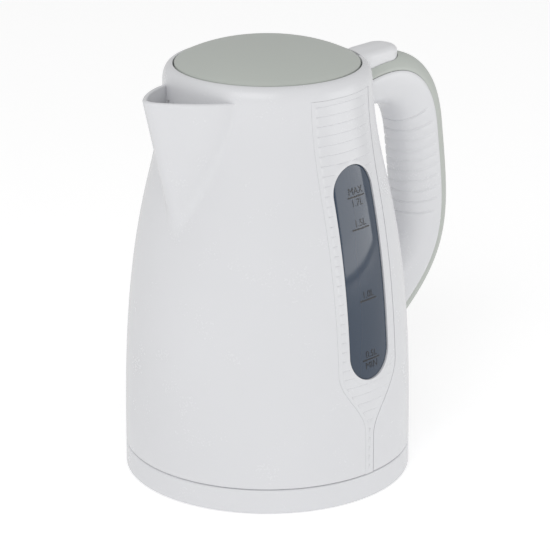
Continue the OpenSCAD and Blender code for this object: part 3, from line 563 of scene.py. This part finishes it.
def window_ring(side, z):
    """Section of a window: its face from edge to edge, and its back."""
    half = WINDOW_W / 2
    core = min(max(z, WINDOW_LOW + half), WINDOW_HIGH - half)
    reach = math.sqrt(max(0.04, (half - WINDOW_GAP) ** 2 - (z - core) ** 2))
    line = [reach * math.sin(math.radians(a)) for a in np.linspace(-90, 90, 31)]
    return ([on_side(side, s, z, window_depth(s, z)) for s in line]
            + [on_side(side, s, z, WINDOW_REAR) for s in reversed(line)])


round_end = WINDOW_W / 2 * (1 - np.cos(np.radians(np.linspace(4, 90, 20))))
window_rows = [*(WINDOW_LOW + round_end),
               *np.linspace(WINDOW_LOW + WINDOW_W / 2, WINDOW_HIGH - WINDOW_W / 2, 42)[1:-1],
               *reversed(WINDOW_HIGH - round_end)]

smoke = Finish("smoky_window", (0.036, 0.063, 0.109), ior=1.6, transmission_weight=0.3)
smoke.set(roughness=smoke.noise(400) * 0.03 + 0.05)
smoke.drift(smoke.noise(20), 0.02)
smoke.relief(smoke.noise(250), 0.000002)

for side, word in ((-1, "right"), (1, "left")):
    cut(jug, flank_block(side, trim_outline()))
    trim = skinned("trim_" + word, [trim_ring(side, z) for z in rows])
    cut(trim, flank_block(side, window_outline()))
    finish_piece(trim, WHITE, "kettle", "white_plastic", "gauge_trim_" + word, smooth=24)
    glass = skinned("gauge_" + word, [window_ring(side, z) for z in window_rows])
    finish_piece(glass, smoke.material, "kettle", "smoky_window", "window_" + word)
finish_piece(jug, WHITE, "kettle", "white_plastic", "jug_shell")
true_normals(jug)

# The levels are printed on the windows in black, as short lines with their words.
INK = moulded("black_print", (0.012, 0.012, 0.014), roughness=0.35, grain=600, depth=0.000002)
MARKS = [(160.5, "MAX", "1.7L"), (144.3, "1.5L", ""), (107.6, "1.0L", ""), (76.1, "0.5L", "MIN")]
PRINT_X, PRINT_DEPTH = 0.9, 0.87
LETTER_H, LINE_HALF_W, LINE_T, WORD_GAP = 3.5, 6.3, 0.75, 1.2


def word_piece(side, text, low):
    """Flat letters on a window, with their foot at a height."""
    bpy.ops.object.text_add()
    obj = bpy.context.object
    obj.data.body, obj.data.align_x, obj.data.resolution_u = text, "CENTER", 3
    bpy.ops.object.convert(target="MESH")
    scale = LETTER_H / max(v.co.y for v in obj.data.vertices)
    for v in obj.data.vertices:
        x, y, z = on_side(side, PRINT_X - side * v.co.x * scale, low + v.co.y * scale, PRINT_DEPTH)
        v.co = (x * MM, y * MM, (z + FOOT_Z) * MM)
    return obj


for side, word in ((-1, "right"), (1, "left")):
    prints = []
    for level, above, below in MARKS:
        z = level - FOOT_Z
        line = [[on_side(side, PRINT_X + s, z + t, PRINT_DEPTH)
                 for s in np.linspace(-LINE_HALF_W, LINE_HALF_W, 12)]
                for t in (-LINE_T / 2, LINE_T / 2)]
        prints.append(skinned("line", line, closed=False, capped=False))
        if above:
            prints.append(word_piece(side, above, z + WORD_GAP))
        if below:
            prints.append(word_piece(side, below, z - WORD_GAP - LETTER_H))
    pick(prints[0])
    for obj in prints:
        obj.select_set(True)
    bpy.ops.object.join()
    prints[0].name = "print_" + word
    finish_piece(prints[0], INK, "kettle", "black_plastic")

# ------------------------------------------------------------------ inside and underside
# A steel plate with a tubular heater closes the vessel on a silicone ring. The control is screwed
# under it, the bottom cover hides both, and a lever at the rear lifts the rod that trips it. The
# filter hangs behind the slots of the spout.

BLACK = moulded("black_control", (0.02, 0.02, 0.022), roughness=0.45, grain=900, depth=0.00001)
SILICONE = moulded("silicone", (0.62, 0.62, 0.6), roughness=0.55, grain=700, depth=0.00001)
STEEL = metal("brushed_steel", (0.6, 0.6, 0.61), roughness=0.3, stretch=(1, 12, 1))
BUTTON = moulded("button_grey", (0.77, 0.775, 0.79), roughness=0.34, grain=1200, depth=0.000008,
                 ior=1.46)
paint(PALE, "spout_filter", "trip_rod")
paint(STEEL, "filter_mesh", "element_plate", "heating_element", "switch_pin")
paint(SILICONE, "plate_seal")
paint(BLACK, "control_body")
paint(BRASS, "bimetal_discs", "socket_contacts")
paint(PLATE, "jug_bottom")
paint(ZINC, "bottom_screws")
paint(BUTTON, "switch_lever")

# ------------------------------------------------------------------ handle
# The handle is a flattened round section along two joined curves, split into two mouldings. The
# white grip is its inner part, with finger grooves, and the satin cover is its outer part.

SPINE_TOP = np.array([[52, JUG_H - 25.9], [66, JUG_H - 25.9], [103, JUG_H - 9.9],
                      [109.5, JUG_H - 54.9]])
SPINE_BACK = np.array([[109.5, JUG_H - 54.9], [118, JUG_H - 115.9], [121, 79.7], [64.5, 41.2]])
GRIP_HALF_W, ARM_HALF_D, GRIP_HALF_D = 13.2, 11.2, 17.0
COVER_SHARE, SECTION_POWER = 0.588, 2.4
ARM_U, TAIL_U, GROWN_U = 0.12, 1.82, 0.95
GRIP_WALL, COVER_WALL, EDGE_EASE, ROOT_GAP = 2.5, 2.0, 0.35, 0.12
GROOVE_TOP, GROOVE_PITCH, GROOVE_COUNT = JUG_H - 48.9, 5.9, 10
GROOVE_HALF, GROOVE_D, GROOVE_TURN, GROOVE_TAPER, GROOVE_FADE = 1.0, 0.5, 104, 12, 6
SPLIT = math.degrees(math.acos((1 - COVER_SHARE) ** (SECTION_POWER / 2)))
PARTING_TURN, COVER_SINK = 1.2, 0.15


def spine(u):
    """Point and direction on the handle's curve, which has two parts."""
    p, t = (SPINE_TOP, u) if u < 1 else (SPINE_BACK, u - 1)
    at = (1 - t)**3 * p[0] + 3 * (1 - t)**2 * t * p[1] + 3 * (1 - t) * t * t * p[2] + t**3 * p[3]
    way = (1 - t)**2 * (p[1] - p[0]) + 2 * (1 - t) * t * (p[2] - p[1]) + t * t * (p[3] - p[2])
    return at, way / np.linalg.norm(way)


def section(u, a, inset):
    """Point of the section at an angle from its crown, drawn in by inset."""
    at, way = spine(u)
    c, s = math.cos(math.radians(a)), math.sin(math.radians(a))
    half = ARM_HALF_D + (GRIP_HALF_D - ARM_HALF_D) * blend(u / GROWN_U)
    out = (half - inset) * math.copysign(abs(c) ** (2 / SECTION_POWER), c)
    y = (GRIP_HALF_W - inset) * math.copysign(abs(s) ** (2 / SECTION_POWER), s)
    return np.array([at[0] - way[1] * out, y, at[1] + way[0] * out])


def on_wall(p, way):
    """Carries a point along the handle on to the wall of the jug."""
    for _ in range(6):
        shift = (math.sqrt((jug_r(p[2]) + ROOT_GAP) ** 2 - p[1] ** 2) - p[0]) / way[0]
        p = np.array([p[0] + shift * way[0], p[1], p[2] + shift * way[1]])
    return p


def handle_shell(name, first, last, thickness, across, stations, relief=lambda u, a: 0):
    """Closed shell between two angles of the section, from wall to wall of the jug."""
    angles = np.linspace(first, last, across)
    rings = []
    for u in stations:
        face = [section(u, a, relief(u, a) + EDGE_EASE * (k in (0, across - 1)))
                for k, a in enumerate(angles)]
        rings.append(face + [section(u, a, thickness) for a in angles[::-1]])
    for end in (0, -1):
        free, way = rings[end], spine(stations[end])[1]
        seat = [on_wall(p, way) for p in free]
        root = [[s + (p - s) * f for s, p in zip(seat, free)] for f in (0, 0.25, 0.5, 0.75)]
        root.insert(0, [(p + q) / 2 for p, q in zip(seat, seat[::-1])])
        rings = root + rings if end == 0 else rings + root[::-1]
    return skinned(name, rings, capped=False)


def groove_place(z):
    """Place along the spine where the inner face of the grip stands at a height."""
    places = np.linspace(0.5, 1.7, 241)
    return float(np.interp(-z, [-section(u, 180, 0)[2] for u in places], places))


def finger_relief(u, a):
    """Depth of the finger grooves, which run round the inner side and fade out on the flanks."""
    deep = 0.0
    for i, middle in enumerate(grooves):
        away = abs(u - middle) / (GROOVE_HALF * U_PER_MM)
        if away < 1:
            half = (GROOVE_COUNT - 1) / 2
            limit = GROOVE_TURN - GROOVE_TAPER * ((i - half) / half) ** 2
            fade = 1 - blend((abs(a - 180) - limit + GROOVE_FADE) / GROOVE_FADE)
            deep = max(deep, GROOVE_D * (1 - blend(away)) * fade)
    return deep


grooves = [groove_place(GROOVE_TOP - i * GROOVE_PITCH) for i in range(GROOVE_COUNT)]
U_PER_MM = (grooves[-1] - grooves[0]) / (GROOVE_PITCH * (GROOVE_COUNT - 1))
plain = list(np.linspace(ARM_U, TAIL_U, 90))
fine = [g + d * GROOVE_HALF * U_PER_MM for g in grooves for d in (-1, -0.65, -0.3, 0, 0.3, 0.65, 1)]
grip = handle_shell("grip", SPLIT + PARTING_TURN, 360 - SPLIT - PARTING_TURN, GRIP_WALL, 64,
                    sorted(plain + fine), finger_relief)
finish_piece(grip, WHITE, "kettle", "white_plastic", "handle_grip", smooth=40)

GREY = moulded("satin_grey", (0.51, 0.54, 0.505), roughness=0.45, grain=1500, depth=0.00002,
               ior=1.46)
BUTTON_X, BUTTON_L, BUTTON_W, BUTTON_GAP, BUTTON_CUT = 75.5, 33.0, 18.4, 0.35, 30


def stadium(grow, count=24):
    """Plan of the lid button."""
    half, r = (BUTTON_L - BUTTON_W) / 2, BUTTON_W / 2 + grow
    return (arc((BUTTON_X + half, 0), r, -90, 90, count)
            + arc((BUTTON_X - half, 0), r, 90, 270, count))


cover = handle_shell("cover", -SPLIT, SPLIT, COVER_WALL, 33, plain, lambda u, a: COVER_SINK)
cut(cover, plan_block(stadium(BUTTON_GAP), FOOT_Z + JUG_H - BUTTON_CUT,
                      FOOT_Z + JUG_H + BUTTON_CUT))
finish_piece(cover, GREY, "kettle", "grey_plastic", "handle_cover", smooth=40)
paint(ZINC, "cover_screw")

# ------------------------------------------------------------------ lid button
# The button is a long pad of light grey plastic with soft edges. It stands in the opening of the
# handle's cover, over its spring and the arm that pulls the lid's latch.

BUTTON_LOW, BUTTON_RISE, BUTTON_EDGE = JUG_H - 18, 5.6, 4.2
PAD_ROUND, PAD_ROUND_H, PAD_TOP_X = 4, 3.2, BUTTON_X + 3
PAD_FRONT_DROP, PAD_FRONT, PAD_REAR_DROP, PAD_REAR = 1.6, 18, 0.5, 12
CROWN_U = 0.42
CROWN_Z = section(CROWN_U, 0, 0)[2]


def pad_ring(inset, drop):
    """Outline of the pad, which slopes down towards the lid and a little towards the rear."""
    ring = []
    for x, y in stadium(-inset, 20):
        away = x - PAD_TOP_X
        slope = (PAD_FRONT_DROP * (away / PAD_FRONT) ** 2 if away < 0
                 else PAD_REAR_DROP * (away / PAD_REAR) ** 2)
        ring.append((x, y, CROWN_Z + BUTTON_RISE - slope - drop))
    return ring


rings = [[(x, y, BUTTON_LOW) for x, y in stadium(0, 20)], pad_ring(0, BUTTON_EDGE)]
rings += [pad_ring(PAD_ROUND * (1 - math.cos(a)), BUTTON_EDGE - PAD_ROUND_H * math.sin(a))
          for a in np.linspace(0.2, 1.5, 8)]
rings += [pad_ring(t, (1 - (t - PAD_ROUND) / (BUTTON_W / 2 - PAD_ROUND)) ** 2)
          for t in (5, 6, 7, 8, 8.9)]
pad = skinned("button_pad", rings)
finish_piece(pad, BUTTON, "lid_button", "button_plastic", "lid_button", smooth=50)
paint(PALE, "latch_arm")
paint(STEEL, "button_spring")

# ------------------------------------------------------------------ lid
# The lid is a shallow satin dome with a rounded edge, screwed over a liner that closes the mouth.
# Its skirt is open at the hinge, and the knuckles are on the liner.

LID_EDGE_Z = JUG_H + 0.7
LID_WALL, LID_EASE, DOME_H, DOME_POWER = 1.8, 0.75, 9.6, 2.6
SKIRT_Z, DOME_EDGE = LID_EDGE_Z - 6.1, 1.1
HINGE_HALF, HINGE_ROOM_X = 24.5, 6


def dome(r):
    """Height of the lid's top at a distance from its middle."""
    return LID_EDGE_Z + DOME_H * (1 - (r / LID_R) ** DOME_POWER)


lid = turned("lid_dome", [
    (LID_R - LID_WALL, SKIRT_Z), (LID_R, SKIRT_Z),
    *arc((LID_R - LID_EASE, LID_EDGE_Z - LID_EASE), LID_EASE, 0, 75, 8),
    *[(r, dome(r)) for r in np.linspace(LID_R - DOME_EDGE, 0, 40)],
    *[(r, dome(r) - LID_WALL) for r in np.linspace(0, LID_R - LID_WALL, 30)]], lift=FOOT_Z)
cut(lid, block((HINGE_X - HINGE_ROOM_X, -HINGE_HALF, SKIRT_Z + FOOT_Z - OVERCUT),
               (HINGE_X + HINGE_ROOM_X, HINGE_HALF, LID_EDGE_Z + FOOT_Z - LID_WALL)))
finish_piece(lid, GREY, "lid", "grey_plastic", "lid_cover", smooth=40)
paint(PALE, "lid_liner")
paint(STEEL, "lid_spring", "hinge_pin")
paint(ZINC, "liner_screws")

# ------------------------------------------------------------------ studio
# The kettle stands on a white floor in a white room, in a broad soft light from the front and the
# spout's side, and in that of a low card that the right window mirrors. Floor and room look a
# little brighter than the light that they throw back.

FLOOR_SIZE, FLOOR_GLOW, FLOOR_SEEN, ROOM_GLOW, ROOM_SEEN = 8, 0.22, 0.16, 0.59, 1.0
MIDDLE_H = 0.12
AZIMUTH, ELEVATION = 43.5, 19.325
CAMERA_AT, CAMERA_LENS, CAMERA_SHIFT = (-0.9246, -0.9743, 0.5749), 176.73, 0.0139

bpy.ops.mesh.primitive_plane_add(size=FLOOR_SIZE)
floor = bpy.context.object
ground = Finish("studio_floor", (0.9, 0.9, 0.9), roughness=0.8, emission_strength=1.0)
seen = ground.node("ShaderNodeLightPath", output="Is Camera Ray")
ground.set(emission_color=seen * FLOOR_SEEN + FLOOR_GLOW)
ground.drift(ground.noise(3), 0.004)
floor.data.materials.append(ground.material)


def softbox(azimuth, elevation, distance, size, power):
    """Area light that faces the middle of the kettle. Azimuth 0 is in front, at -Y."""
    a, e = math.radians(azimuth), math.radians(elevation)
    toward = Vector((math.sin(a) * math.cos(e), -math.cos(a) * math.cos(e), math.sin(e)))
    bpy.ops.object.light_add(type="AREA", location=Vector((0, 0, MIDDLE_H)) + toward * distance,
                             rotation=toward.to_track_quat("Z", "Y").to_euler())
    lamp = bpy.context.object.data
    lamp.shape, lamp.size, lamp.size_y, lamp.energy = "RECTANGLE", *size, power


softbox(azimuth=-60, elevation=34, distance=1.8, size=(1.3, 1.0), power=9.0)
softbox(azimuth=42.5, elevation=4.75, distance=1.0, size=(0.67, 0.36), power=1.3)

world = bpy.data.worlds.new("studio")
world.use_nodes = True
room = Graph(world.node_tree)
seen = (room.node("ShaderNodeLightPath", output="Is Camera Ray")
        + room.node("ShaderNodeLightPath", output="Is Transmission Ray"))
glow = room.node("ShaderNodeMapRange", None,
                 {"Value": seen, "To Min": ROOM_GLOW, "To Max": ROOM_SEEN}, "Result")
background = world.node_tree.nodes["Background"].inputs
room.feed(background["Color"], (1, 1, 1, 1))
room.feed(background["Strength"], glow)
bpy.context.scene.world = world
bpy.context.scene.view_settings.view_transform = "Standard"

bpy.ops.object.camera_add(location=CAMERA_AT,
                          rotation=(math.radians(90 - ELEVATION), 0, math.radians(-AZIMUTH)))
camera = bpy.context.object
camera.data.lens, camera.data.sensor_width, camera.data.shift_x = CAMERA_LENS, 36.0, CAMERA_SHIFT
bpy.context.scene.camera = camera
